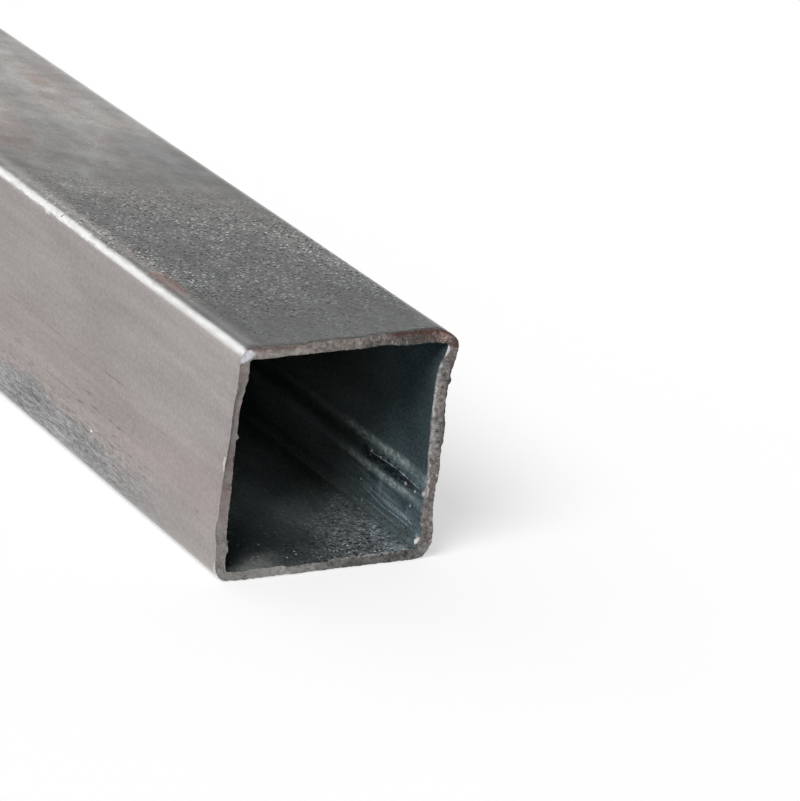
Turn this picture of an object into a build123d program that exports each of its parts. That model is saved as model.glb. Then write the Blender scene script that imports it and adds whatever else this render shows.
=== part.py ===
"""Square steel tube: one length of welded, cold-formed hollow section.

The tube is a single piece of metal. Flat strip is rolled to a square with small, even corners and
its two edges are welded together, which leaves a narrow ridge of flash, the bead, along the whole
inside of one wall. The outside of the weld is planed flush by the mill. The near end is cropped,
and the stroke of the blade leaves its two side walls slightly hollow. The far end is sawn square.

Frame, in millimetres: the tube lies on its lower wall along Y, with +Z up and the cropped end
towards -Y. The origin is on the underside, half way along the length and half way across the
width. The seam is in the +X wall.
"""

from build123d import *

import os

# The section.
OUTSIDE_WIDTH = 40.0  # across opposite flats, both ways
WALL = 2.0  # thickness of the strip
INSIDE_BEND_RADIUS = 0.5  # the bore's corners

# The stock length.
LENGTH = 1000.0

# The bead that the weld leaves on the inner face of the +X wall.
SEAM_HEIGHT = 12.0  # from the underside of the tube up to the middle of the bead
BEAD_WIDTH = 1.8
BEAD_HEIGHT = 0.45
BEAD_TOE_RADIUS = 0.35  # where the bead runs out into the wall

# The cropped end.
CROP_HOLLOW = 1.5  # how far the ends of the side walls fall back at mid-height
CROP_LAND = 1.5  # the straight stretch of each side wall's end, above the bore's floor and below its roof

BORE_WIDTH = OUTSIDE_WIDTH - 2 * WALL
MID_HEIGHT = OUTSIDE_WIDTH / 2
OUTSIDE_BEND_RADIUS = INSIDE_BEND_RADIUS + WALL  # the wall keeps its thickness round each bend
SEAM_WALL_X = BORE_WIDTH / 2  # the bore's face that carries the bead


def rounded_square(width, corner_radius):
    """A rounded square about the middle of the section, whose sketch's own Y is the tube's height."""
    with BuildSketch() as profile:
        with Locations((0, MID_HEIGHT)):
            RectangleRounded(width, width, corner_radius)
    return profile.sketch


def bead_profile():
    """The bead: an arc for its crown, closed by a root buried half way into the wall."""
    toe_low = SEAM_HEIGHT - BEAD_WIDTH / 2
    toe_high = SEAM_HEIGHT + BEAD_WIDTH / 2
    root_x = SEAM_WALL_X + WALL / 2
    with BuildSketch() as profile:
        with BuildLine():
            ThreePointArc(
                (SEAM_WALL_X, toe_low), (SEAM_WALL_X - BEAD_HEIGHT, SEAM_HEIGHT), (SEAM_WALL_X, toe_high)
            )
            Polyline((SEAM_WALL_X, toe_high), (root_x, toe_high), (root_x, toe_low), (SEAM_WALL_X, toe_low))
        make_face()
    return profile.sketch


def bore_profile():
    """The hollow of the section, with the bead standing into it on rounded toes."""
    with BuildSketch() as profile:
        add(rounded_square(BORE_WIDTH, INSIDE_BEND_RADIUS))
        add(bead_profile(), mode=Mode.SUBTRACT)
        toes = profile.vertices().filter_by_position(
            Axis.Y, SEAM_HEIGHT - BEAD_WIDTH, SEAM_HEIGHT + BEAD_WIDTH
        )
        fillet(toes, BEAD_TOE_RADIUS)
    return profile.sketch


def tube_section():
    """The steel of the section, stood up across the tube."""
    steel = rounded_square(OUTSIDE_WIDTH, OUTSIDE_BEND_RADIUS) - bore_profile()
    return Plane.XZ * steel


def crop_cutter():
    """A wide cylinder across the near end, which reaches CROP_HOLLOW into the side walls."""
    half_chord = BORE_WIDTH / 2 - CROP_LAND
    radius = (half_chord**2 + CROP_HOLLOW**2) / (2 * CROP_HOLLOW)
    axis_y = -LENGTH / 2 + CROP_HOLLOW - radius
    cutter = Cylinder(radius, OUTSIDE_WIDTH + 2 * WALL, rotation=(0, 90, 0))
    return Pos(0, axis_y, MID_HEIGHT) * cutter


def square_tube():
    """The section run out by half the stock length to each side of the origin, and cropped."""
    tube = extrude(tube_section(), amount=LENGTH / 2, both=True) - crop_cutter()
    tube.label = "square_tube"
    return tube


def main():
    os.makedirs("parts", exist_ok=True)
    export_step(square_tube(), "parts/square_tube.step")


main()
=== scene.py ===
import math

import bmesh
import bpy
from bpy.props import FloatProperty, FloatVectorProperty, PointerProperty
from bpy.types import Operator, Panel, PropertyGroup
from mathutils import Matrix, Vector


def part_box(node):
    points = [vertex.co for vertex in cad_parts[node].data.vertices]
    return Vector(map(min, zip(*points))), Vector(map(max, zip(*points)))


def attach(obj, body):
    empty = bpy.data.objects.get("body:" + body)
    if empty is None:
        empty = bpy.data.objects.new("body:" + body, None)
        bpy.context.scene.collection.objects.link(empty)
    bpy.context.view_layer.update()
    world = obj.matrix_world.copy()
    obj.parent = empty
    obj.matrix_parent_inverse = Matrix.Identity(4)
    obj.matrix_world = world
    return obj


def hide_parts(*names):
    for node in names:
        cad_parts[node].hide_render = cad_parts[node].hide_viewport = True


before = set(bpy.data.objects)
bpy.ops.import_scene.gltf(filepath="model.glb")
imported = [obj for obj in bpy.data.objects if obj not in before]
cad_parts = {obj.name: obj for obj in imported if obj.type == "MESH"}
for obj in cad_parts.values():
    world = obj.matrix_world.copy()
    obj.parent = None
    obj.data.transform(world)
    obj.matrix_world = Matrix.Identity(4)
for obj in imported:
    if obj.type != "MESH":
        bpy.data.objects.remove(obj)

bl_info = {
    "name": "Square steel tube",
    "version": (1, 0, 0),
    "blender": (4, 5, 0),
    "location": "3D View > Sidebar > Tube",
    "description": "Models a length of welded square steel tube, with its mill finish, and a plain studio",
    "category": "Add Mesh",
}

MM = 0.001
NODE = "square_tube"
LOW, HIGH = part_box(NODE)
MID_HEIGHT = (LOW.z + HIGH.z) / 2
NEAR_Y, FAR_Y = LOW.y, HIGH.y

# How finely the section and the rows along the tube are divided.
CORNER_SEGMENTS = 12
SIDE_CUTS = 127
WALL_RINGS = 8
FINEST_ROW = 0.3 * MM
COARSEST_ROW = 25 * MM
ROW_GROWTH = 1.35

# The mesh's ends, a little inside the CAD box, which leaves room for burrs.
NEAR_CUT = NEAR_Y + 1.2 * MM
FAR_CUT = FAR_Y - 0.2 * MM

# The relief: the grain of each pattern, and the length and depth of the slow waves that the rolls left.
WANDER_GRAIN = 2.6 * MM
TORN_GRAIN = 0.55 * MM
NIBBLED_GRAIN = 0.75 * MM
SAWN_GRAIN = 0.5 * MM
WAVE_LENGTH = 45 * MM
WAVE_DEPTH = 0.12 * MM

CLOSE = 0.01 * MM  # how near to a place something lies that is picked there
RIM_BAND = 0.6 * MM  # how far to either side of a rim the vertices are its own
BEAD_CREST = 0.3  # share of the bead's half width that is pulled in full
SMOOTH_ANGLE = math.radians(40)

BORE, CUT = 1, 2  # material slots of the tube, after the outer skin's

# How the crop left the near end: the wall, its outer or inner rim, where the pull starts and stops
# along the wall, the pull itself and how far it drags its surroundings, all in millimetres. Places
# are heights on the side walls and X on the upper and lower walls.
CROP_PULLS = (
    ("left", "outer", 10, 12, (0, 1.4, 0), 13),
    ("left", "outer", 18, 21, (0, 0.25, 0), 6),
    ("left", "outer", 33, 34.5, (0, -0.2, 0), 4.5),
    ("left", "outer", 7.6, 9.4, (0, 0.4, 0), 1.6),
    ("left", "outer", 0.4, 1.2, (-0.3, -0.3, -0.4), 1.8),
    ("left", "inner", 17, 33, (0, 0.5, 0), 2.2),
    ("left", "inner", 20, 31, (0, 0.5, 0), 2.2),
    ("left", "inner", 23, 29, (0, 0.4, 0), 2.2),
    ("left", "inner", 24.1, 24.5, (0.5, -0.1, 0), 0.7),
    ("left", "inner", 4.9, 6.7, (0.3, -0.05, 0), 0.5),
    ("right", "outer", 36, 38, (0, -0.8, 0), 5),
    ("right", "outer", 31.0, 31.6, (0, -0.35, 0), 1.2),
    ("right", "outer", 38.8, 39.3, (0.25, 0.05, 0.25), 1.2),
    ("right", "inner", 23, 34, (0, 0.9, 0), 3.6),
    ("right", "inner", 6, 36, (0, 0.4, 0), 2.2),
    ("right", "inner", 14, 33, (0, 0.4, 0), 2.2),
    ("right", "inner", 21, 31, (0, 0.2, 0), 2.2),
    ("right", "inner", 17.5, 20.5, (0, 0.55, 0), 2.5),
    ("right", "inner", 3.8, 9.8, (0, 0.5, 0), 2.0),
    ("right", "outer", 21.5, 23.5, (0, -0.5, 0), 2.2),
    ("right", "outer", 9, 12.5, (0, 0.35, 0), 2.5),
    ("right", "outer", 3.5, 5.5, (0, -0.4, 0), 2.2),
    ("right", "outer", 0.5, 1.4, (0.4, -0.4, -0.35), 2.0),
    ("right", "inner", 11.0, 11.9, (-0.6, -0.2, -0.2), 0.9),
    ("right", "inner", 2.6, 3.2, (-1.5, -0.3, 0.35), 1.2),
    ("upper", "outer", 18.8, 19.2, (0.15, 0.05, 0.15), 1.2),
    ("upper", "outer", 11.5, 17, (0, 1.3, 0), 2.4),
    ("upper", "outer", -7, 1.5, (0, 0.8, 0), 1.8),
    ("upper", "outer", 4.5, 9.2, (0, 1.2, 0), 3.0),
    ("upper", "inner", -12, 8, (0, 0.4, 0), 1.8),
    ("upper", "outer", -11, -9, (0, -0.3, 0), 8),
    ("upper", "outer", 8, 9, (0, 0.25, 0), 8),
    ("upper", "outer", 14.5, 16, (0, 0.6, 0), 5),
    ("upper", "outer", 18.2, 20, (0, -0.5, 0), 3.2),
    ("upper", "outer", -19.5, -17.8, (0, 0.8, -0.1), 2.0),
    ("lower", "inner", -15, -5, (0, -0.25, 0), 1.8),
    ("lower", "inner", -17.6, -14.5, (-0.1, 0, -0.35), 1.0),
    ("lower", "inner", -7, 0.5, (0, 0, -0.35), 1.4),
)


# -------- settings


def length_setting(name, description, millimetres):
    """A setting that holds a length."""
    return FloatProperty(
        name=name, description=description, default=millimetres * MM, unit="LENGTH", precision=5
    )


def colour_setting(name, description, default):
    """A setting that holds a colour."""
    return FloatVectorProperty(
        name=name, description=description, default=default, subtype="COLOR", min=0, max=1
    )


def angle_setting(name, description, degrees):
    """A setting that holds an angle."""
    return FloatProperty(name=name, description=description, default=math.radians(degrees), unit="ROTATION")


def level_setting(name, description, default):
    """A setting that holds a brightness."""
    return FloatProperty(name=name, description=description, default=default, min=0)


class TubeSizes(PropertyGroup):
    """Sizes of the tube's section and of its ends."""

    wall: length_setting("Wall", "Thickness of the strip", 2.0)
    bend_radius: length_setting("Bend radius", "Outside radius of the four corners", 2.5)
    seam_height: length_setting("Seam height", "From the underside up to the middle of the weld's bead", 12.0)
    bead_width: length_setting("Bead width", "Width of the weld's bead in the bore", 1.8)
    bead_height: length_setting("Bead height", "How far the bead stands into the bore", 0.45)
    cut_grain: length_setting("Cut grain", "Depth of the torn grain on the cropped end", 0.22)
    cut_wander: length_setting("Cut wander", "Depth of the slow waves of the cropped end's edges", 0.18)


class TubeColours(PropertyGroup):
    """Colours of the mill skin, the bore and the cut metal."""

    steel: colour_setting("Steel", "The smooth scale on the sides", (0.338, 0.314, 0.301))
    pink_steel: colour_setting("Pink steel", "The pink film half way up the sides", (0.340, 0.298, 0.285))
    blue_steel: colour_setting("Blue steel", "The bluish bands low on the sides", (0.270, 0.272, 0.276))
    # On the upper face, the dark scale near the end is painted shade and the paler scale beyond it is painted
    # light.
    end_shade_steel: colour_setting("End steel", "The dark scale near the upper face's end", (0.160, 0.167, 0.164))
    far_light_steel: colour_setting("Pale steel", "The paler scale beyond the dark scale", (0.480, 0.455, 0.435))
    brown_tint: colour_setting("Brown tint", "The thin brown film on the upper face", (0.365, 0.313, 0.294))
    # The corners' colour stands for a painted highlight, partly burnish from the rolls. Pale flecks and the
    # cut's burr glints take it too.
    burnish_highlight: colour_setting("Burnished corner", "The corners, polished by the rolls", (0.88, 0.89, 0.88))
    rust: colour_setting("Rust", "The brown of the rust stains", (0.235, 0.125, 0.095))
    fresh_rust: colour_setting("Fresh rust", "The orange of the rust stains", (0.62, 0.235, 0.13))
    bore: colour_setting("Bore", "The blued skin inside the bore", (0.130, 0.185, 0.205))
    dust: colour_setting("Dust", "The grit on the floor of the bore", (0.178, 0.192, 0.199))
    seam: colour_setting("Seam edges", "The scraped strips beside the weld's bead", (0.68, 0.79, 0.78))
    cut: colour_setting("Cut metal", "The torn grain of the cropped end", (0.266, 0.256, 0.246))
    cut_rust: colour_setting("Cut rust", "The dark red rust on the cut's edges", (0.150, 0.080, 0.070))


class StudioSettings(PropertyGroup):
    """The floor, the lamps and the camera."""

    floor_colour: colour_setting("Floor", "Colour of the floor", (0.5, 0.5, 0.5))
    camera_place: FloatVectorProperty(
        name="Camera", description="Where the camera stands",
        default=(-302.07 * MM, NEAR_Y - 481.5 * MM, 243.65 * MM), subtype="XYZ", unit="LENGTH",
    )
    camera_azimuth: angle_setting("Azimuth", "How far the camera looks right of the tube's line", 32.919)
    camera_elevation: angle_setting("Elevation", "How far the camera looks down", 20.490)
    camera_roll: angle_setting("Roll", "How far the camera leans to its left", 7.270)
    lens: FloatProperty(name="Lens", description="Focal length", default=171.61, subtype="DISTANCE_CAMERA")
    key_strength: level_setting("Key lamp", "Strength of the broad lamp in front of the tube", 2.6)
    key_angle: angle_setting("Key softness", "How wide the broad lamp is", 32)
    rim_power: FloatProperty(
        name="Rim lamp", description="Power of the soft lamp behind the tube", default=2.6, unit="POWER"
    )
    floor_lift: level_setting("Floor lift", "What is added to the floor to read white", 0.5)
    horizon_level: level_setting("Walls", "Brightness of the room low behind the tube", 1.15)
    ceiling_level: level_setting("Ceiling", "Brightness of the room overhead", 0.3)
    front_level: level_setting("Front", "Brightness of the room low in front of the tube", 0.18)


# -------- modelling helpers


def start_clean():
    """Leaves edit mode and deselects everything."""
    if bpy.context.object and bpy.context.object.mode != "OBJECT":
        bpy.ops.object.mode_set(mode="OBJECT")
    bpy.ops.object.select_all(action="DESELECT")


def select_where(piece, kind, test):
    """In edit mode, selects the vertices, edges or faces that pass a test."""
    bpy.ops.mesh.select_mode(type=kind)
    bpy.ops.mesh.select_all(action="DESELECT")
    mesh = bmesh.from_edit_mesh(piece.data)
    for element in {"VERT": mesh.verts, "EDGE": mesh.edges, "FACE": mesh.faces}[kind]:
        if test(element):
            element.select_set(True)
    mesh.select_flush_mode()
    bmesh.update_edit_mesh(piece.data)


def drag(piece, test, move, reach):
    """Moves the vertices that pass a test, and drags what lies within reach after them."""
    select_where(piece, "VERT", test)
    bpy.ops.transform.translate(
        value=move, use_proportional_edit=True, proportional_edit_falloff="SMOOTH", proportional_size=reach
    )


def row_spacings(length):
    """Spacings of the rows along the tube: fine at both ends and coarse between."""
    half, step = [], FINEST_ROW
    while sum(half) + step < length / 2:
        half.append(step)
        step = min(step * ROW_GROWTH, COARSEST_ROW)
    half.append(length / 2 - sum(half))
    return half + half[::-1]


def add_group(piece, name, weights):
    """Makes a vertex group from a dictionary of vertex index to weight."""
    group = piece.vertex_groups.new(name=name)
    for index, weight in weights.items():
        group.add([index], weight, "REPLACE")


def apply_displace(piece, name, grain, strength, direction, mid_level=0.5, group=None):
    """Moves the mesh by a cloud pattern of one grain size, in one direction."""
    clouds = bpy.data.textures.new(name, "CLOUDS")
    clouds.noise_scale = grain
    clouds.noise_depth = 2
    displace = piece.modifiers.new(name, "DISPLACE")
    displace.texture = clouds
    displace.texture_coords = "LOCAL"
    displace.direction = direction
    displace.strength = strength
    displace.mid_level = mid_level
    if group:
        displace.vertex_group = group
    bpy.ops.object.modifier_apply(modifier=name)


# -------- the tube


def stand_section(sizes):
    """A square plane across the near end, with rounded corners and evenly divided sides."""
    width = HIGH.x - LOW.x
    bpy.ops.mesh.primitive_plane_add(
        size=width, location=(0, NEAR_CUT, MID_HEIGHT), rotation=(math.pi / 2, 0, 0)
    )
    tube = bpy.context.object
    tube.name = tube.data.name = "mill_tube"
    bpy.ops.object.transform_apply()
    bpy.ops.object.mode_set(mode="EDIT")
    bpy.ops.mesh.select_all(action="SELECT")
    bpy.ops.mesh.bevel(offset=sizes.bend_radius, segments=CORNER_SEGMENTS, affect="VERTICES")
    select_where(tube, "EDGE", lambda edge: edge.calc_length() > width / 2)
    bpy.ops.mesh.subdivide(number_cuts=SIDE_CUTS)
    return tube


def open_wall(tube, sizes):
    """Insets the section in rings to the wall's thickness and takes out the middle."""
    select_where(tube, "FACE", lambda face: True)
    for _ in range(WALL_RINGS):
        bpy.ops.mesh.inset(thickness=sizes.wall / WALL_RINGS, use_even_offset=True)
    bpy.ops.mesh.delete(type="ONLY_FACE")


def raise_bead(tube, sizes):
    """Pulls the bore's edge into the bore where the weld's bead runs."""
    face_x = HIGH.x - sizes.wall
    half = sizes.bead_width / 2

    def in_bead(vert):
        return abs(vert.co.x - face_x) < CLOSE and abs(vert.co.z - sizes.seam_height) < BEAD_CREST * half

    drag(tube, in_bead, (-sizes.bead_height, 0, 0), half)


def draw_out(tube):
    """Extrudes the section along the tube, row by row."""
    select_where(tube, "FACE", lambda face: True)
    for step in row_spacings(FAR_CUT - NEAR_CUT):
        bpy.ops.mesh.extrude_region_move(TRANSFORM_OT_translate={"value": (0, step, 0)})
    bpy.ops.mesh.select_all(action="SELECT")
    bpy.ops.mesh.normals_make_consistent(inside=False)


def name_zones(tube, sizes):
    """Gives the ends and the bore their own material slots."""
    inner = HIGH.x - sizes.wall

    def on_end(face):
        y = face.calc_center_median().y
        return abs(y - NEAR_CUT) < CLOSE or abs(y - FAR_CUT) < CLOSE

    def in_bore(face):
        middle = face.calc_center_median()
        reach = max(abs(middle.x), abs(middle.z - MID_HEIGHT))
        return not on_end(face) and reach < inner + CLOSE

    for slot, test in ((BORE, in_bore), (CUT, on_end)):
        select_where(tube, "FACE", test)
        tube.active_material_index = slot
        bpy.ops.object.material_slot_assign()


def end_weights(tube, end_y):
    """How far each vertex follows an end's torn grain: all of it on the cut, and less in the rows behind."""
    fade = 3 * FINEST_ROW
    weights = {}
    for vert in tube.data.vertices:
        away = abs(vert.co.y - end_y)
        if away < fade:
            weights[vert.index] = 1 - away / fade
    return weights


def rim(tube, sizes, wall, edge, start, stop):
    """The vertices of a wall's outer or inner rim on the near cut, between two places along the wall."""
    half = (HIGH.x - LOW.x) / 2
    level = half if edge == "outer" else half - sizes.wall
    picked = set()
    for vert in tube.data.vertices:
        if abs(vert.co.y - NEAR_CUT) > CLOSE:
            continue
        x, height = vert.co.x, vert.co.z
        z = height - MID_HEIGHT
        across, along = {"left": (-x, height), "right": (x, height), "upper": (z, x), "lower": (-z, x)}[wall]
        if abs(across - level) < RIM_BAND and start * MM <= along <= stop * MM:
            rings_in = (half - across) / (sizes.wall / WALL_RINGS)
            if edge == "inner" or rings_in < 0.5:
                picked.add(vert.index)
    return picked


def crop_near_end(tube, sizes):
    """Bends the near cut as the crop left it."""
    picks = [rim(tube, sizes, *pull[:4]) for pull in CROP_PULLS]
    bpy.ops.object.mode_set(mode="EDIT")
    for picked, pull in zip(picks, CROP_PULLS):
        drag(tube, lambda vert: vert.index in picked, Vector(pull[4]) * MM, pull[5] * MM)
    bpy.ops.object.mode_set(mode="OBJECT")


def tear_ends(tube, sizes):
    """Gives both cuts their grain, the near one coarse and the far one fine, and nibbles the near rims."""
    for grain, strength in ((WANDER_GRAIN, sizes.cut_wander), (TORN_GRAIN, sizes.cut_grain)):
        apply_displace(tube, "torn_grain", grain, 2 * strength, "Y", group="near_cut")
    apply_displace(
        tube, "nibbled_rim", NIBBLED_GRAIN, sizes.cut_grain, "NORMAL", mid_level=1.0, group="near_cut"
    )
    apply_displace(tube, "sawn_grain", SAWN_GRAIN, sizes.cut_grain, "Y", group="far_cut")


class MESH_OT_square_tube(Operator):
    """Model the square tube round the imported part"""

    bl_idname = "mesh.square_tube"
    bl_label = "Square tube"
    bl_options = {"REGISTER", "UNDO"}

    def execute(self, context):
        sizes, colours = context.scene.tube_sizes, context.scene.tube_colours
        start_clean()
        tube = stand_section(sizes)
        open_wall(tube, sizes)
        raise_bead(tube, sizes)
        draw_out(tube)
        for make in (skin_material, bore_material, cut_material):
            bpy.ops.object.material_slot_add()
            tube.material_slots[-1].material = make(colours)
        name_zones(tube, sizes)
        bpy.ops.object.mode_set(mode="OBJECT")
        add_group(tube, "near_cut", end_weights(tube, NEAR_CUT))
        add_group(tube, "far_cut", end_weights(tube, FAR_CUT))
        crop_near_end(tube, sizes)
        tear_ends(tube, sizes)
        apply_displace(tube, "rolled_waves", WAVE_LENGTH, WAVE_DEPTH, "NORMAL", mid_level=1.0)
        bpy.ops.object.shade_smooth_by_angle(angle=SMOOTH_ANGLE)
        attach(tube, "root")
        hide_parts(NODE)
        return {"FINISHED"}


# -------- finishes

# The section's half width, its top and the near cut in millimetres, the unit of every size in the finishes.
SIDE = HIGH.x / MM
TOP = HIGH.z / MM
NEAR = NEAR_CUT / MM

SLANT = 0.35  # how steeply the chip and the glint rise to the right
# The chip's white, in the bore and on the cut, is a painted glint on a real chip.
CHIP_X = SIDE - 3.4  # the middle of the chip in the bore's right corner, which also marks the cut

# Colours of the small marks: on the scale, in the bore and on the cut.
COOL_SCALE = (0.395, 0.415, 0.425)
SHEARED_LIP = (0.205, 0.18, 0.16)
DARK_SCRATCH = (0.04, 0.035, 0.035)
CRACK = (0.06, 0.05, 0.055)
DARK_FLECK = (0.08, 0.06, 0.06)
DEEP_SKIN = (0.158, 0.184, 0.183)
MOUTH_HAZE_AND_LIGHT = (0.3, 0.44, 0.46)
TEAL_STAIN = (0.035, 0.09, 0.12)
WORN_SPOT = (0.85, 0.93, 0.9)
BLACK_SCALE_AND_SHADE = (0.01, 0.012, 0.014)
SCRAPE = (0.74, 0.82, 0.92)
SMUDGE = (0.58, 0.64, 0.74)
FLOOR_FILM = (0.23, 0.235, 0.235)
CORNER_SHADE = (0.05, 0.052, 0.046)
SPECK = (0.75, 0.78, 0.77)
BORE_FLECK = (0.85, 0.87, 0.86)
CHIP_GLINT = (0.95, 0.96, 0.95)
WARM_CUT = (0.29, 0.25, 0.241)
FOOT_CUT = (0.258, 0.262, 0.25)
UPPER_CUT = (0.29, 0.262, 0.24)
GLINT = (0.8, 0.8, 0.86)

# Dark scratches on the left face, each from one place to another, as distance from the near end and
# height, with its width and depth of tone.
SCRATCHES = (
    (84, 19.4, 70, 20.0, 0.26, 0.5),
    (73, 19.8, 58, 19.7, 0.26, 0.55),
    (59, 19.6, 46, 19.5, 0.22, 0.3),
    (46, 19.5, 36, 19.8, 0.28, 0.6),
    (66, 11.9, 58, 11.7, 0.24, 0.5),
    (79, 12.3, 73, 12.9, 0.22, 0.4),
    (60, 11.8, 52, 11.7, 0.22, 0.35),
    (52, 13.5, 46, 14.5, 0.24, 0.4),
    (49, 12.4, 43, 12.1, 0.22, 0.35),
    (45, 14.0, 28, 16.4, 0.2, 0.25),
    (27, 17.0, 20, 17.2, 0.22, 0.3),
    (62, 25.6, 57, 25.7, 0.22, 0.2),
)

# Pale scrapes on the bore's wall along and below the bead, in the same terms. The first two are a painted
# highlight along the bead's crest.
BORE_SCRATCHES = (
    (20, 12, 8.5, 12.35, 0.33, 0.65),
    (9.5, 12.35, 0.3, 11.7, 0.38, 1.0),
    (9, 10.6, 5, 10.8, 0.28, 0.45),
    (13, 9.5, 3, 9.2, 0.38, 0.7),
    (14, 5.1, 0.5, 5.1, 1.3, 0.4),
    (22, 5.3, 12, 4, 0.33, 0.85),
    (14.5, 4.1, 6.5, 4.2, 0.3, 1.0),
    (8, 4.2, 0.3, 4, 0.33, 1.0),
    (21, 5.6, 9.5, 5.3, 0.28, 0.7),
    (12, 5.9, 2, 4.6, 0.28, 0.6),
    (24, 7.4, 9, 6.2, 0.43, 0.35),
    (19, 3.2, 6, 2.6, 0.3, 0.6),
    (23, 6.3, 16, 5.7, 0.3, 0.6),
    (10, 3.4, 1, 3.3, 0.28, 0.6),
)

# Bright flecks on the same wall: height, distance from the near end and half size.
BORE_FLECKS = (
    (10.7, 6.9, 0.38),
    (12.2, 17.8, 0.29),
    (11.2, 18.6, 0.24),
    (12.3, 14.8, 0.22),
    (7.6, 4.7, 0.26),
    (10.5, 3.8, 0.29),
    (5.9, 20.7, 0.26),
    (2.6, 19.6, 0.24),
)

# The pale strips beside the bead: height, half width and strength. Both fade out this deep in the bore, as
# painted shade where the light falls off.
SEAM_STRIPS = ((9.2, 1.1, 0.95), (14.0, 1.25, 1.1))
STRIP_END = 31

# Rust stains on the upper face: across and along the tube from the near end, their half sizes, strength
# and how fresh the rust is.
STAINS = (
    (-16.9, 30.4, 1.5, 5.6, 0.75, 0.15),
    (-17.5, 34.9, 0.6, 0.9, 0.8, 1.0),
    (-16.2, 26.3, 0.6, 0.9, 0.8, 0.0),
    (-16.8, 29.0, 0.5, 1.4, 0.5, 0.5),
    (-11.3, 103.5, 1.6, 5.5, 0.18, 0.6),
    (-12.8, 114.0, 2.4, 6.0, 0.13, 0.6),
    (15.2, 111.0, 1.2, 5.0, 0.1, 0.4),
    (10.2, 139.0, 2.0, 5.0, 0.3, 0.8),
)

# Flecks on the left face: height and distance from the near end, half sizes, and how pale they are, or how
# dark if below zero. The pale ones take the corners' highlight colour. The one at the cut's edge and the one
# at the lower corner are painted highlight, and the others are pale scuffs and marks.
FLECKS = (
    (7.8, 46.7, (0.26, 0.36), 1.0),
    (20.2, 1.4, (1.2, 0.5), 0.4),
    (9.1, 8.2, (0.24, 0.34), -0.6),
    (2.0, 0.4, (1.6, 1.2), 0.3),
    (38.6, 70.6, (0.3, 1.0), 0.4),
    (39.4, 66.3, (0.35, 0.25), -0.7),
)


def arithmetic(operation, swapped=False):
    """A method that makes one step of arithmetic of a value, or of a value and another."""

    def method(self, *other):
        values = (*other, self) if swapped else (self, *other)
        return self.tree.step(operation, *values)

    return method


class Value:
    """What a node gives, which is added, multiplied and shaped like a number."""

    def __init__(self, tree, socket):
        self.tree, self.socket = tree, socket

    __add__, __radd__ = arithmetic("ADD"), arithmetic("ADD", swapped=True)
    __sub__, __rsub__ = arithmetic("SUBTRACT"), arithmetic("SUBTRACT", swapped=True)
    __mul__, __truediv__ = arithmetic("MULTIPLY"), arithmetic("DIVIDE")
    __pow__, __abs__ = arithmetic("POWER"), arithmetic("ABSOLUTE")
    at_least, at_most = arithmetic("MAXIMUM"), arithmetic("MINIMUM")
    root = arithmetic("SQRT")

    def rise(self, low, high, bottom=0.0, top=1.0):
        """A smooth step from bottom to top as the value goes from low to high."""
        node = self.tree.node("ShaderNodeMapRange", {"interpolation_type": "SMOOTHSTEP"}, Value=self)
        for name, limit in (("From Min", low), ("From Max", high), ("To Min", bottom), ("To Max", top)):
            self.tree.feed(node.inputs[name], limit)
        return Value(self.tree, node.outputs[0])

    def band(self, middle, half_width, soft):
        """A stripe: 1 near the middle and 0 past half its width, with a soft share of its edge."""
        return abs(self - middle).rise(half_width, half_width * (1 - soft))


class NodeTree:
    """The nodes of a material or of the world, with short calls for adding to them."""

    def __init__(self, owner, shader):
        owner.use_nodes = True
        self.nodes, self.links = owner.node_tree.nodes, owner.node_tree.links
        self.shader = self.nodes[shader]

    def node(self, kind, settings=None, **inputs):
        """Adds a node with its settings and its inputs."""
        node = self.nodes.new(kind)
        for name, value in (settings or {}).items():
            setattr(node, name, value)
        self.supply(node, **inputs)
        return node

    def supply(self, node, **inputs):
        """Feeds a node's inputs by name, with _ for a space."""
        for name, value in inputs.items():
            self.feed(node.inputs[name.replace("_", " ")], value)

    def feed(self, socket, value):
        """Links a socket to another, or sets it to a number, a vector or a colour."""
        value = getattr(value, "socket", value)
        if isinstance(value, bpy.types.NodeSocket):
            self.links.new(value, socket)
        elif socket.type == "RGBA":
            socket.default_value = (*value, 1)
        else:
            socket.default_value = value

    def step(self, operation, *values, clamp=False):
        """One step of arithmetic."""
        node = self.node("ShaderNodeMath", {"operation": operation, "use_clamp": clamp})
        for socket, value in zip(node.inputs, values):
            self.feed(socket, value)
        return Value(self, node.outputs[0])

    def axes(self, place):
        """The three coordinates of a place."""
        split = self.node("ShaderNodeSeparateXYZ")
        self.feed(split.inputs[0], place)
        return [Value(self, axis) for axis in split.outputs]


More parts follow.
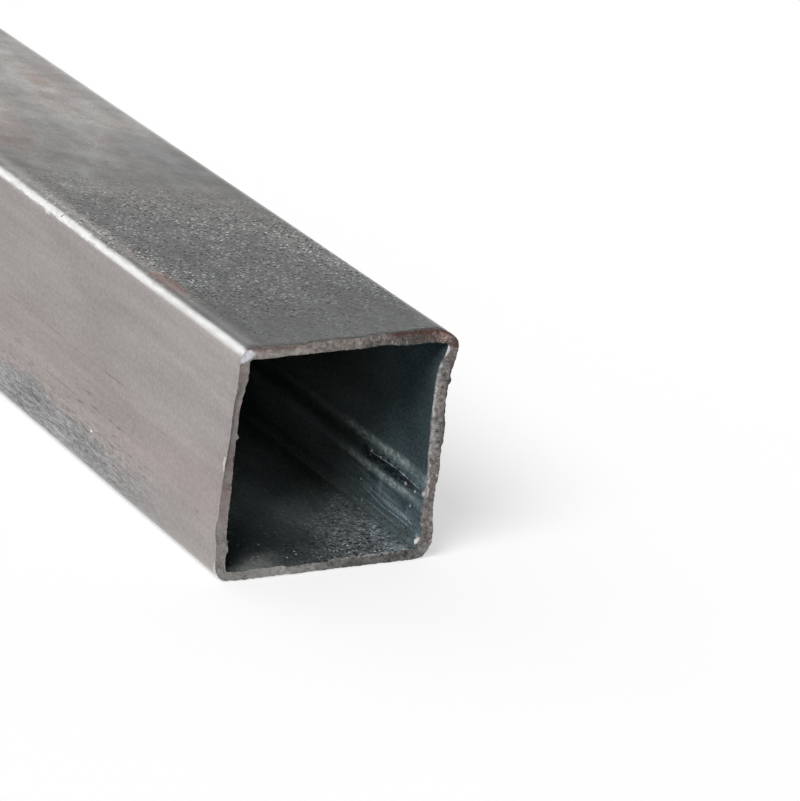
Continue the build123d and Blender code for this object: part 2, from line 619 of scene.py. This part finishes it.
class Finish(NodeTree):
    """The nodes of one material, with short calls for its patterns. The unit is the millimetre."""

    def __init__(self, name):
        self.material = bpy.data.materials.new(name)
        super().__init__(self.material, "Principled BSDF")
        metres = self.node("ShaderNodeTexCoord").outputs["Object"]
        scale = self.node("ShaderNodeVectorMath", {"operation": "SCALE"}, Vector=metres, Scale=1 / MM)
        self.place = scale.outputs[0]
        self.x, along, self.z = self.axes(self.place)
        self.deep = along - NEAR

    def mapped(self, place, shift, scale):
        """A place shifted by a seed and scaled, for a pattern to be read at."""
        mapping = self.node("ShaderNodeMapping", Vector=place)
        mapping.inputs["Location"].default_value = (shift, 2 * shift, 3 * shift)
        mapping.inputs["Scale"].default_value = scale
        return mapping.outputs[0]

    def grain(self, size, along=1.0, detail=2.0, shift=0.0, turn=0.0):
        """Cloud noise about zero, with the size of its grain, how far that is drawn out, and its turn."""
        place = self.place
        if turn:
            settings = {"rotation_type": "Z_AXIS"}
            place = self.node("ShaderNodeVectorRotate", settings, Vector=place, Angle=turn).outputs[0]
        place = self.mapped(place, shift, (1 / size, 1 / (size * along), 1 / size))
        noise = self.node("ShaderNodeTexNoise", Vector=place, Scale=1.0, Detail=detail)
        return Value(self, noise.outputs["Fac"]) - 0.5

    def dots(self, spacing, size, shift=0.0, rare=0.15):
        """Scattered dots of uneven strength, with their spacing and their size as a share of it."""
        place = self.mapped(self.place, shift, [1 / spacing] * 3)
        cells = self.node("ShaderNodeTexVoronoi", Vector=place, Scale=1.0)
        chance = self.node("ShaderNodeSeparateColor", Color=cells.outputs["Color"]).outputs["Red"]
        near = Value(self, cells.outputs["Distance"]).rise(size, size / 2)
        return near * Value(self, chance).rise(rare, 1.0)

    def patch(self, first, second, middle, radii, ragged, soft=0.25):
        """A ragged patch: 1 inside an ellipse on the plane of two coordinates, and 0 outside."""
        across = (first - middle[0]) / radii[0]
        up = (second - middle[1]) / radii[1]
        away = (across * across + up * up).root()
        return (away + ragged).rise(0.9 + soft, 0.9 - soft)

    def slanted_patch(self, across, height, radii, ragged):
        """A patch about a place on the section, drawn out up to the right."""
        slanted = self.z + self.x * -SLANT
        return self.patch(self.x, slanted, (across, height - SLANT * across), radii, ragged)

    def scratch(self, start, start_height, stop, stop_height, width):
        """A thin line on a side, from one distance from the near end and height to another."""
        slope = (stop_height - start_height) / (stop - start)
        line = self.step("MULTIPLY_ADD", self.deep, slope, start_height - slope * start)
        middle, reach = (start + stop) / 2, abs(stop - start) / 2
        return abs(self.z - line).rise(width / 2, 0) * self.deep.band(middle, reach, soft=0.5)

    def scratched(self, colour, scratches, face, broken, tint):
        """A colour with scratches over it, on one face and broken by a pattern."""
        for *line, strength in scratches:
            colour = self.mix(face * self.scratch(*line) * broken * strength, colour, tint)
        return colour

    def mix(self, factor, first, second):
        """A blend of two colours."""
        node = self.node("ShaderNodeMix", {"data_type": "RGBA"})
        # Its inputs for colours are 6 and 7.
        for number, value in ((0, factor), (6, first), (7, second)):
            self.feed(node.inputs[number], value)
        return Value(self, node.outputs[2])

    def layered(self, colour, *layers):
        """A colour with layers over it, each with its strength and its tint."""
        for strength, tint in layers:
            colour = self.mix(strength, colour, tint)
        return colour

    def shade(self, colour, factor):
        """A colour made lighter or darker."""
        node = self.node("ShaderNodeVectorMath", {"operation": "SCALE"}, Scale=factor)
        self.feed(node.inputs[0], colour)
        return Value(self, node.outputs[0])

    def finish(self, colour, roughness, height, distance, metallic):
        """Feeds the shader, with a height pattern as its bump."""
        bump = self.node("ShaderNodeBump", Height=height, Distance=distance * MM)
        self.supply(
            self.shader, Base_Color=colour, Roughness=roughness, Normal=bump.outputs[0], Metallic=metallic
        )
        return self.material


def scale_colour(skin, colours, upper, clouds, streaks):
    """The scale's colour before its marks: bands along the sides, and on top painted shade near the end, then
    painted light further along.
    """
    x, z, deep = skin.x, skin.z, skin.deep
    wander = z + streaks * 5 + clouds * 14
    along = deep + clouds * 70 + x.rise(0, SIDE, 0, 8)

    # The brown film lies far along, next to the left corner and in a stripe on its edge.
    film = skin.grain(7, along=3, detail=1, shift=5).rise(0.0, 0.2, 0, 0.8)
    left = x.rise(12 - SIDE, 7 - SIDE) * deep.rise(22, 42)
    film = film * along.rise(60, 95).at_least(left)
    stripe = x.band(2.8 - SIDE, 3.0, soft=0.9) * deep.rise(14, 32) * 0.6
    film = (film + stripe).at_most(1.0)
    cool = skin.grain(6, along=2.2, detail=1.5, shift=33).rise(0.0, 0.15, 0, 0.45)
    return skin.layered(
        colours.steel,
        (wander.band(14, 10, soft=0.8) * 0.9, colours.pink_steel),
        (wander.rise(10, 4) * deep.rise(4, 55), colours.blue_steel),
        (upper * along.rise(75, 150), colours.far_light_steel),
        (upper * along.rise(130, 35), colours.end_shade_steel),
        (film * upper, colours.brown_tint),
        (upper * cool * deep.rise(60, 95), COOL_SCALE),
    )


def painted_corner_highlight(skin, streaks):
    """How far a place takes the corners' painted highlight, partly burnish from the rolls: all of the upper
    left corner, and the rest little.
    """
    x, z, deep = skin.x, skin.z, skin.deep
    # Both coordinates are near their limit only on the rounded corners, most of all halfway round.
    from_middle = abs(x)
    from_level = abs(z - TOP / 2)
    spread = streaks * 0.4
    worn = deep.band(68, 26, soft=0.6)
    chewed = worn * skin.grain(0.45, along=4, detail=2, shift=21) * 0.75
    side_reach = (from_level + spread + chewed).rise(SIDE - 1.55, SIDE - 0.75)

    frayed = skin.grain(1.3, along=2.5, detail=3, shift=27) * deep.rise(20, 40, 0.3, 1.2)
    upper_reach = (from_middle + spread + frayed).rise(SIDE - 2.4, SIDE - 0.8)
    crisp = 1.15 + deep.band(48, 36, soft=0.6) * 0.8
    upper_reach = upper_reach ** crisp
    dim = deep.rise(18, 34, 0.38, 0.26) + deep.rise(45, 70, 0, 0.2)
    shoulder = from_middle.rise(SIDE - 5.0, SIDE - 0.8) * dim
    upper_reach = upper_reach.at_least(shoulder)

    high = z.rise(TOP / 2, TOP - 5)
    # The lower corners take a painted reflection of the floor.
    low_corner = 0.5 + deep.rise(5, 0) * 0.15
    by_height = high + low_corner * (1 - high)
    uneven = skin.grain(1.2, along=3, detail=3, shift=23).rise(-0.25, 0.1, 0.75, 1)
    spots = worn * skin.dots(1.0, 0.2, shift=5, rare=0.4).rise(0.35, 0.6) * 0.6
    # The left corner, which faces the rim lamp, takes the painted highlight in full, and the right one
    # little.
    on_left = x.rise(0, SIDE, 1, 0.12)
    return side_reach * upper_reach * by_height * uneven * on_left * (1 - spots)


def skin_marks(skin, colours, colour, upper, left):
    """The rust stains, the scratches and the cracks over the scale."""
    ragged = skin.grain(0.8, detail=3, shift=2) * 1.6
    for place, distance, width, reach, strength, fresh in STAINS:
        stain = skin.patch(skin.x, skin.deep, (place, distance), (width, reach), ragged)
        rust = skin.mix(ragged.rise(-0.3, 0.3, fresh / 3, fresh), colours.rust, colours.fresh_rust)
        colour = skin.mix(upper * stain * strength, colour, rust)
    colour = skin.scratched(colour, SCRATCHES, left, ragged.rise(-0.35, 0.1), DARK_SCRATCH)
    cracks = skin.grain(0.36, along=11, detail=1, shift=17).rise(-0.13, -0.22)
    cracks = cracks * skin.z.band(9, 8, soft=0.6) * skin.deep.rise(15, 40) * 0.5
    return (skin.mix(cracks, colour, CRACK), ragged)


def skin_material(colours):
    """Grey mill scale: grit with painted sparkle on top, streaks along the tube, stains, and corners with a
    painted highlight, partly burnish.
    """
    skin = Finish("mill_skin")
    x, z, deep = skin.x, skin.z, skin.deep
    upper = z.rise(TOP - 1.2, TOP - 0.3)
    left = x.rise(1.6 - SIDE, 1.0 - SIDE)
    low = z.rise(12, 5) * deep.rise(12, 45)
    clouds = skin.grain(9, along=3, detail=4)
    streaks = skin.grain(0.9, along=45, detail=3, shift=9)
    mottle = skin.grain(1.8, along=2.2, detail=2, shift=14)

    # The grit is worn off by the shear next to the cut, lies thick a little further on and fades far along.
    sharp = (deep + x * 0.65).rise(50, 86)
    sharp = 1 - sharp * upper * 0.9
    thick = deep.rise(4, 34, 0.22, 1) * sharp
    kept = x.rise(2.2 - SIDE, 5.5 - SIDE, 0.35, 1).at_least(deep.rise(34, 52))
    depth = upper * thick * kept * (clouds + mottle).rise(-0.25, 0.25, 0.5, 1.5)
    # The bright dots are painted glints on the grit, and the dark pits are partly painted shade in its dents.
    dots, pits = (skin.dots(0.62, 0.46, rare=0.25), skin.dots(0.7, 0.46, shift=3))
    fine = skin.grain(0.6, detail=4) * sharp
    grit = depth * (dots * 2.9 + pits * -2.2 + 0.12)
    grit = grit + fine * upper.rise(0, 1, 0.55, 0.7) + depth * fine * 1.4

    # Soft blotches lie on top, with a dim band behind the cut and a paler stretch far along on the right,
    # which is painted light.
    smears = skin.grain(4.2, along=2.4, detail=1.5, shift=12, turn=-0.85)
    smears = smears * deep.rise(30, 65, 0.3, 0.85)
    dim_band = deep.band(17, 12, soft=0.8) * -0.1
    near_tone = dim_band + deep.rise(7, 2, 0, 0.07)
    far_light_tone = deep.rise(62, 95) * x.rise(-4, 14) * 0.13
    blotches = upper * (smears + mottle * 0.5)
    blotches = blotches + upper * (near_tone + far_light_tone)
    soft_clouds = skin.grain(9, along=3, detail=1) * upper.rise(0, 1, 0.3, 0.6)
    broad = skin.grain(2.6, along=9, detail=1.5, shift=6) * upper.rise(0, 1, 0.3, 0.15)

    # Low on the sides the scale is drawn out in short fine scales.
    scaly = (
        skin.grain(0.34, along=6, detail=3, shift=13)
        + skin.grain(0.3, along=20, detail=2, shift=31) * 0.6
        + skin.grain(0.2, along=1.5, detail=1, shift=35) * 0.8
    )
    lines = streaks * 0.2 * upper.rise(0, 1, 1, 0.4)
    sheared = left * deep.rise(45, 0, 0, 0.08)
    tone = grit + blotches + soft_clouds + broad + 0.98 + lines + low * scaly * 2.0 + sheared
    colour = skin.shade(scale_colour(skin, colours, upper, clouds, streaks), tone)
    lip = deep + mottle * 4 + fine * 1.5
    lip = upper * lip.rise(2.4, 0.2) * x.band(-7, 13, soft=0.6) * 0.65
    colour, ragged = skin_marks(skin, colours, skin.mix(lip, colour, SHEARED_LIP), upper, left)

    corner_highlight = painted_corner_highlight(skin, streaks)
    # The corners' painted highlight, partly burnish, is mixed into the colour. It also lowers the bump and
    # the metallic so that it reads bright.
    colour = skin.mix(corner_highlight, colour, colours.burnish_highlight)
    for height, distance, size, pale in FLECKS:
        fleck = skin.patch(z, deep, (height, distance), size, ragged)
        tint = colours.burnish_highlight if pale > 0 else DARK_FLECK
        colour = skin.mix(left * fleck * abs(pale), colour, tint)
    roughness = corner_highlight.rise(0, 1, 0.36, 0.22) + clouds * 0.1
    height = depth * (dots + pits + fine) * 2.0 + fine * 0.12 + streaks * 0.15 + low * scaly * 0.8
    height = height * corner_highlight.rise(0, 1, 1, 0.1)
    return skin.finish(colour, roughness, height, 0.03, corner_highlight.rise(0, 1, 1.0, 0.55))


def bore_light(bore, wall, floor, far, gritty):
    """How the skin darkens up the wall and near the mouth, and how it lightens further in, as two factors."""
    x, z, deep = bore.x, bore.z, bore.deep
    high = wall * z.rise(12, 16) * z.rise(33, 27)
    shadow = (
        z.rise(12, 22, 1, 0.8) * (gritty + wall).rise(0, 0.6, 0.6, 1)
        + high * deep.rise(14, 7) * -0.3
        + wall * z.rise(17, 24) * far * -0.3
        + wall * z.rise(24, 30) * deep.rise(9, 3) * -0.16
    )
    lift = (
        floor * far * x.rise(14, 3, 0.3, 1.6) * (1 - gritty)
        + floor * deep.rise(27, 40) * x.band(11, 6.5, soft=0.9) * 0.75
        + wall * z.band(8, 5, soft=0.5) * deep.rise(26, 42) * 0.5
        + 1.0
        + floor * deep.rise(17, 5) * x.rise(0, 8, -0.42, -0.18)
    )
    return (shadow, lift)


def seam_strips(bore, colours, colour, wall):
    """The pale strips beside the weld, mottled and worn to bright spots, which fade out further in as painted
    shade.
    """
    z, deep = bore.z, bore.deep
    peaks = bore.grain(0.9, along=1.6, detail=3, shift=15).rise(-0.06, 0.12, 0.0, 0.55)
    mottled = 0.2 + peaks + bore.grain(2.2, along=2, detail=1, shift=16) * 1.0
    worn_spots = bore.grain(0.55, along=1.8, detail=2, shift=9).rise(0.03, 0.13)
    worn_spots = worn_spots * deep.rise(3, 12) * 0.75
    uneven = bore.grain(2.5, along=3, detail=2) * 0.8
    wander = z + uneven + deep.rise(7, 0, 0, 0.5)
    at_mouth, far_in = (deep.rise(2, 14, 0.3, 1), deep.rise(75, 30, 0, 0.22))
    for height, half_width, strength in SEAM_STRIPS:
        fades = deep.rise(STRIP_END, STRIP_END - 7) * mottled + far_in
        strip = wander.band(height, half_width, soft=1.0)
        strip = wall * strip * fades * at_mouth * strength
        strip = strip.at_least(0.0).at_most(1.0)
        colour = bore.mix(strip, colour, colours.seam)
        spots = wander.band(height, half_width, soft=0.8)
        spots = wall * spots * deep.rise(STRIP_END, STRIP_END - 4) * worn_spots * strength
        colour = bore.mix(spots, colour, WORN_SPOT)
    return colour


def black_scale_and_shade(bore, wall):
    """The black beside the bead: far in a smooth dark groove of painted shade, and near the mouth broken
    flakes of black scale.
    """
    groove = wall * bore.z.band(11.8, 2.1, soft=0.9) * bore.deep.rise(12, 24)
    ragged = bore.z + bore.grain(0.6, along=2, detail=2, shift=24) * 1.6
    flakes = ragged.band(11.4, 1.45, soft=0.35) * bore.deep.band(13, 11, soft=0.4)
    broken = bore.grain(0.5, along=2.5, detail=2, shift=26).rise(0.15, 0.02, 0.2, 1)
    return (groove * 0.55).at_least(wall * flakes * broken * 0.9)


def bore_material(colours):
    """The bore's dark blue skin, with the weld's rough bead, the strips beside it, grit and scratches."""
    bore = Finish("bore_skin")
    x, z, deep = bore.x, bore.z, bore.deep
    wall = x.rise(SIDE - 3.2, SIDE - 2.6)
    floor = z.rise(3.8, 2.3)
    streaks = bore.grain(0.7, along=30, detail=3)
    clouds, fine = (bore.grain(6, along=2, detail=4, shift=4), bore.grain(0.45, detail=3))
    crumbs = bore.grain(0.8, detail=2, shift=19)
    mouth, far = (deep.rise(38, 22), deep.rise(10, 27))

    # The grit lies on the floor's right half at the mouth, in clumps.
    reach = x + deep * -0.8 + clouds * 14
    gritty = floor * mouth * reach.rise(-10, 5) * x.rise(17.3, 15.6)
    clumps = bore.grain(2.0, detail=2, shift=28).rise(-0.15, 0.15, 0.55, 1.5)
    sand = bore.dots(0.55, 0.42, shift=8, rare=0.3) * 4.2 + fine * 2.6
    sand = sand * clumps * 1.05 + crumbs * 3.2 + -0.18
    # A paler patch of grit near the mouth, partly painted light where the key lamp falls on the floor.
    grit_and_light_pool = bore.patch(x, deep, (10.0, 8.5), (5.0, 4.5), clouds * 2)
    scuffed = wall * z.rise(11, 8) * deep.rise(20, 32, 1.6, 0.2)
    # The tone rises further in, as painted light against the falling off of the lamps' light.
    tone = (
        streaks * (scuffed + 0.5)
        + clouds * 1.2
        + fine * 2.4
        + sand * gritty
        + deep.rise(6, 26, 1.0, 1.35)
        + floor * grit_and_light_pool * (0.36 + crumbs * 1.1)
    )
    steel = bore.layered(colours.bore, (far.at_least(floor * 0.8), DEEP_SKIN), (gritty, colours.dust))
    shadow, lift = bore_light(bore, wall, floor, far, gritty)
    colour = bore.shade(steel, tone * shadow * lift)

    # Low in the right corner near the mouth the steel takes a bluish haze, lightened as painted light where
    # the key lamp falls in.
    near_corner = x.rise(9, 15) * z.rise(8, 4) * deep.rise(18, 5)
    haze_and_light = (near_corner * (0.13 + clouds * 0.8 + crumbs * 0.5)).at_least(0.0)
    lower_wall = wall * z.band(7, 4, soft=0.6) * deep.band(14, 12, soft=0.6)
    teal = lower_wall * bore.grain(1.5, along=2.5, detail=2, shift=18).rise(0.0, 0.14) * 0.8
    colour = bore.layered(colour, (haze_and_light, MOUTH_HAZE_AND_LIGHT), (teal, TEAL_STAIN))
    colour = seam_strips(bore, colours, colour, wall)
    colour = bore.mix(black_scale_and_shade(bore, wall), colour, BLACK_SCALE_AND_SHADE)
    broken = (fine + clouds * 1.2).rise(-0.22, 0.12)
    colour = bore.scratched(colour, BORE_SCRATCHES, wall, broken, SCRAPE)

    # A smudge on the wall, a film and painted shade in the floor's left corner, specks, flecks and a chip.
    uneven, torn = ((clouds + crumbs) * 1.4, fine * 2)
    smudge = wall * bore.patch(z, deep, (7.4, 14.4), (2.4, 0.6), torn) * 0.3
    slant = x + deep * -0.6
    film = floor * bore.patch(slant, deep, (-12.4, 0.2), (3.4, 4.2), uneven, soft=0.7)
    film = film * (0.85 + fine * 1.5)
    corner = floor * bore.patch(x, deep, (-17.0, 2.0), (1.8, 3.0), uneven, soft=0.5) * 0.3
    big, small = (bore.dots(1.1, 0.19, shift=7), bore.dots(0.7, 0.22, shift=12, rare=0.5))
    specks = big.rise(0.35, 0.7) + small.rise(0.3, 0.7) * 0.45
    ridge = wall * z.band(11.4, 1.2, soft=0.4) * deep.band(13, 11, soft=0.4)
    where = floor * deep.rise(60, 25) + ridge + lower_wall * 0.5
    specks = (specks * where).at_most(1.0)
    small_marks = ((smudge, SMUDGE), (film, FLOOR_FILM), (corner, CORNER_SHADE), (specks, SPECK))
    colour = bore.layered(colour, *small_marks)
    for height, distance, size in BORE_FLECKS:
        fleck = bore.patch(z, deep, (height, distance), (size, size), torn)
        colour = bore.mix(wall * fleck * 0.9, colour, BORE_FLECK)
    chip_glint = bore.slanted_patch(CHIP_X, 2.9, (1.9, 0.6), torn) * deep.rise(2.2, 1.4)
    colour = bore.mix(chip_glint, colour, CHIP_GLINT)

    rough_bead = ridge * crumbs * 4.0
    height = fine + rough_bead + streaks * 0.6 + gritty * crumbs * 1.5
    return bore.finish(colour, 0.42 + clouds * 0.2, height, 0.04, 0.3)


def cut_rust(cut, upper, inwards, crumbs, clouds):
    """Where the cut is rusty: along its upper edge, most at both ends, and in blotches down the left."""
    edge = (inwards + crumbs * 2.0).rise(1.2, 0.2)
    blotch = (clouds + crumbs * 0.6).rise(-0.1, 0.12)
    right_end = cut.x.rise(6, 10)
    along_edge = edge * (cut.x.rise(-8, -11) + right_end + 0.25)
    mottled = crumbs.rise(-0.15, 0.1, 0.35, 1.0).rise(0, 1, 0.3, 1)
    rusty = upper * mottled * (along_edge + blotch * right_end * 0.8)
    side = cut.x.rise(3 - SIDE, 2 - SIDE) * blotch * cut.z.rise(2, 20, 0.1, 0.45)
    return (rusty * 0.75 + side).at_most(0.9)


def burr_glints(cut, right, inwards, crumbs, grit, clouds, tint):
    """Where the cut is painted bright as glints: its burrs and flecks on the right wall, the lip, the chipped
    corner and the weld.
    """
    x, z = cut.x, cut.z
    worn = (crumbs * 1.5 + grit + clouds).rise(-0.12, 0.1)
    burr_glint = (inwards + crumbs * 0.6).band(1.6, 0.42, soft=0.8)
    burr_glint = burr_glint * (0.15 + worn * 0.45)
    sheen = (inwards + crumbs * 1.2).rise(0.7, 1.7)
    sheen = sheen * tint.rise(-0.15, 0.1, 0.12, 0.34)
    burr_glint = burr_glint.at_least(sheen)
    burr_glint = right * burr_glint * z.rise(9, 13, 0.1, 1) * z.rise(35, 33.5)
    flecked = cut.dots(0.9, 0.3, shift=4, rare=0.4).rise(0.3, 0.6)
    flecked = flecked * inwards.rise(0.6, 0.3) * right * z.band(11, 7, soft=0.3) * 0.7
    on_floor = inwards.rise(1.4, 1.8) * z.rise(3, 2.4)
    lip = on_floor * x.band(3, 14, soft=0.5) * worn * 0.35
    glint_bar = right * cut.patch(z, inwards, (36.6, 1.75), (1.1, 0.4), crumbs) * 0.9
    chip_glint = cut.slanted_patch(CHIP_X, 3.2, (1.5, 0.6), crumbs * 1.5)
    weld = cut.patch(x, z, (SIDE - 2.5, 11.5), (0.6, 0.5), crumbs) * 0.6
    for bright in (chip_glint, weld, flecked, lip, glint_bar):
        burr_glint = burr_glint.at_least(bright)
    return burr_glint


def cut_material(colours):
    """Torn grain of the cropped ends: crumbs, rust along the upper edge, burrs with painted glints, and
    painted shade to the right.
    """
    cut = Finish("cut_metal")
    x, z = cut.x, cut.z
    from_level = abs(z - TOP / 2)
    inwards = SIDE - abs(x).at_least(from_level)
    crumbs, grit = (cut.grain(0.75, detail=3), cut.grain(0.28, detail=1, shift=6))
    clouds, tint = (cut.grain(5, detail=2, shift=2), cut.grain(2.4, detail=2, shift=11))
    upper, right = (z.rise(TOP - 3, TOP - 2.2), x.rise(SIDE - 3, SIDE - 2))
    foot = z.rise(3, 2)

    # The grain is coarser to the right, where the cut is also darker, as painted shade. The upper right end
    # and the lower strip's right part are painted darker too.
    coarse = x.rise(-SIDE, SIDE, 0.6, 1.35)
    tone = crumbs * coarse * 1.8 + grit * coarse * 1.1 + clouds * 0.6 + 1.0
    tone = tone * (1.0 + upper * x.rise(15, 18) * -0.25)
    lower = foot * (x.band(8, 11, soft=0.7) * -0.3 + clouds * 0.6)
    shadow = x.rise(-SIDE / 2, SIDE, 1.15, 0.68) + right * 0.06 + lower

    # Greenish stretches alternate with warm ones down the left wall.
    green = z.band(32.7, 2, soft=0.6) + z.band(24, 4, soft=0.6) + z.band(6, 4, soft=0.6)
    green = (tint + green * x.rise(-SIDE, 0, 0.3, 0)).rise(-0.12, 0.12)
    base = cut.layered(WARM_CUT, (green, colours.cut), (foot * 0.7, FOOT_CUT), (upper * 0.7, UPPER_CUT))
    rusty = cut_rust(cut, upper, inwards, crumbs, clouds)
    # The rust too is painted darker at the upper right end, as painted shade.
    rust = cut.shade(colours.cut_rust, x.rise(15, 18, 1, 0.75))
    burr_glint = burr_glints(cut, right, inwards, crumbs, grit, clouds, tint)
    # A painted glint on the cut's upper left corner.
    glint = cut.slanted_patch(1.2 - SIDE, TOP - 1.45, (1.6, 0.85), crumbs)
    colour = cut.shade(base, tone * shadow)
    colour = cut.layered(colour, (rusty, rust), (burr_glint, colours.burnish_highlight), (glint, GLINT))

    roughness = 0.5 + glint * -0.1
    height = crumbs + grit * 0.5
    # The painted glints lower the metallic, so that they read bright.
    dull = (glint + burr_glint * 0.5) * -0.6
    return cut.finish(colour, roughness, height, 0.2, 0.85 + dull)


def floor_material(studio):
    """Matt paper that reads white where nothing shades it."""
    paper = Finish("floor_paper")
    rays = paper.node("ShaderNodeLightPath").outputs
    seen = paper.step("ADD", rays["Is Camera Ray"], rays["Is Glossy Ray"])
    seen = paper.step("ADD", seen, rays["Is Transmission Ray"], clamp=True)
    paper.supply(paper.shader, Base_Color=studio.floor_colour, Roughness=0.9)
    paper.supply(paper.shader, Emission_Color=(1, 1, 1), Emission_Strength=seen * studio.floor_lift)
    return paper.material


# -------- the studio


# Sizes and places in metres. Both lamps face the middle of the near end.
FLOOR_WIDTH = 60
FLOOR_GAP = 0.05 * MM
NEAR_END = (0, NEAR_Y, MID_HEIGHT)
KEY_PLACE = (-1.15, NEAR_Y - 0.6, 1.40)
RIM_PLACE = (-0.55, NEAR_Y + 1.19, 0.80)
RIM_WIDTH = 1.2


def lay_floor(studio):
    """A wide plain floor just under the tube."""
    bpy.ops.mesh.primitive_plane_add(size=FLOOR_WIDTH, location=(0, 0, -FLOOR_GAP))
    floor = bpy.context.object
    floor.name = floor.data.name = "studio_floor"
    bpy.ops.object.transform_apply()
    floor.data.materials.append(floor_material(studio))


def hang_lamp(kind, name, place):
    """A lamp that faces the near end."""
    bpy.ops.object.light_add(type=kind, location=place)
    lamp = bpy.context.object
    lamp.name = lamp.data.name = name
    lamp.rotation_euler = (Vector(NEAR_END) - Vector(place)).to_track_quat("-Z", "Y").to_euler()
    return lamp.data


def hang_lamps(studio):
    """A broad soft lamp in front, to the left, and one behind that draws the light on the corner."""
    key = hang_lamp("SUN", "key_lamp", KEY_PLACE)
    key.angle = studio.key_angle
    key.energy = studio.key_strength
    rim = hang_lamp("AREA", "rim_lamp", RIM_PLACE)
    rim.size = RIM_WIDTH
    rim.energy = studio.rim_power


def light_room(studio):
    """A pale room: bright low behind the tube, dimmer overhead and in front, and white to the camera."""
    world = bpy.data.worlds.new("studio_room")
    bpy.context.scene.world = world
    room = NodeTree(world, "Background")
    _, along, height = room.axes(room.node("ShaderNodeTexCoord").outputs["Generated"])
    behind = along.rise(-0.2, 0.4, studio.front_level, studio.horizon_level)
    level = height.rise(0.18, 0.46, behind, studio.ceiling_level)
    seen = room.node("ShaderNodeMix", Factor=room.node("ShaderNodeLightPath").outputs["Is Camera Ray"])
    room.feed(seen.inputs[2], level)
    room.feed(seen.inputs[3], 1.0)
    room.supply(room.shader, Strength=seen.outputs[0], Color=(1, 1, 1))


def place_camera(studio):
    """The camera beside the near end, looking down along the tube."""
    bpy.ops.object.camera_add()
    camera = bpy.context.object
    camera.name = camera.data.name = "studio_camera"
    turn = Matrix.Rotation(-studio.camera_azimuth, 4, "Z")
    tilt = Matrix.Rotation(math.pi / 2 - studio.camera_elevation, 4, "X")
    roll = Matrix.Rotation(studio.camera_roll, 4, "Z")
    camera.matrix_world = Matrix.Translation(studio.camera_place) @ turn @ tilt @ roll
    camera.data.lens = studio.lens
    bpy.context.scene.camera = camera


class SCENE_OT_tube_studio(Operator):
    """Set up the floor, the lamps, the room and the camera"""

    bl_idname = "scene.tube_studio"
    bl_label = "Studio"
    bl_options = {"REGISTER", "UNDO"}

    def execute(self, context):
        studio = context.scene.tube_studio
        start_clean()
        lay_floor(studio)
        hang_lamps(studio)
        light_room(studio)
        place_camera(studio)
        context.scene.view_settings.view_transform = "Standard"
        return {"FINISHED"}


# -------- panel and registration


class VIEW3D_PT_square_tube(Panel):
    """Lists the tube's settings and the steps that build it"""

    bl_label = "Square steel tube"
    bl_idname = "VIEW3D_PT_square_tube"
    bl_space_type = "VIEW_3D"
    bl_region_type = "UI"
    bl_category = "Tube"

    def draw(self, context):
        for title, group, operator in (
            ("Sizes", context.scene.tube_sizes, MESH_OT_square_tube.bl_idname),
            ("Colours", context.scene.tube_colours, None),
            ("Studio", context.scene.tube_studio, SCENE_OT_tube_studio.bl_idname),
        ):
            box = self.layout.box()
            box.label(text=title)
            for setting in group.__annotations__:
                box.prop(group, setting)
            if operator:
                box.operator(operator)


CLASSES = (
    TubeSizes, TubeColours, StudioSettings, MESH_OT_square_tube, SCENE_OT_tube_studio, VIEW3D_PT_square_tube,
)
GROUPS = {"tube_sizes": TubeSizes, "tube_colours": TubeColours, "tube_studio": StudioSettings}


def register():
    """Registers the classes and hangs their settings on the scene."""
    for cls in CLASSES:
        bpy.utils.register_class(cls)
    for name, group in GROUPS.items():
        setattr(bpy.types.Scene, name, PointerProperty(type=group))


def unregister():
    """Takes back what register did."""
    for name in GROUPS:
        delattr(bpy.types.Scene, name)
    for cls in reversed(CLASSES):
        bpy.utils.unregister_class(cls)


def main():
    """Builds the studio and the tube."""
    register()
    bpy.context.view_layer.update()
    bpy.ops.scene.tube_studio()
    bpy.ops.mesh.square_tube()


if __name__ == "__main__":
    main()
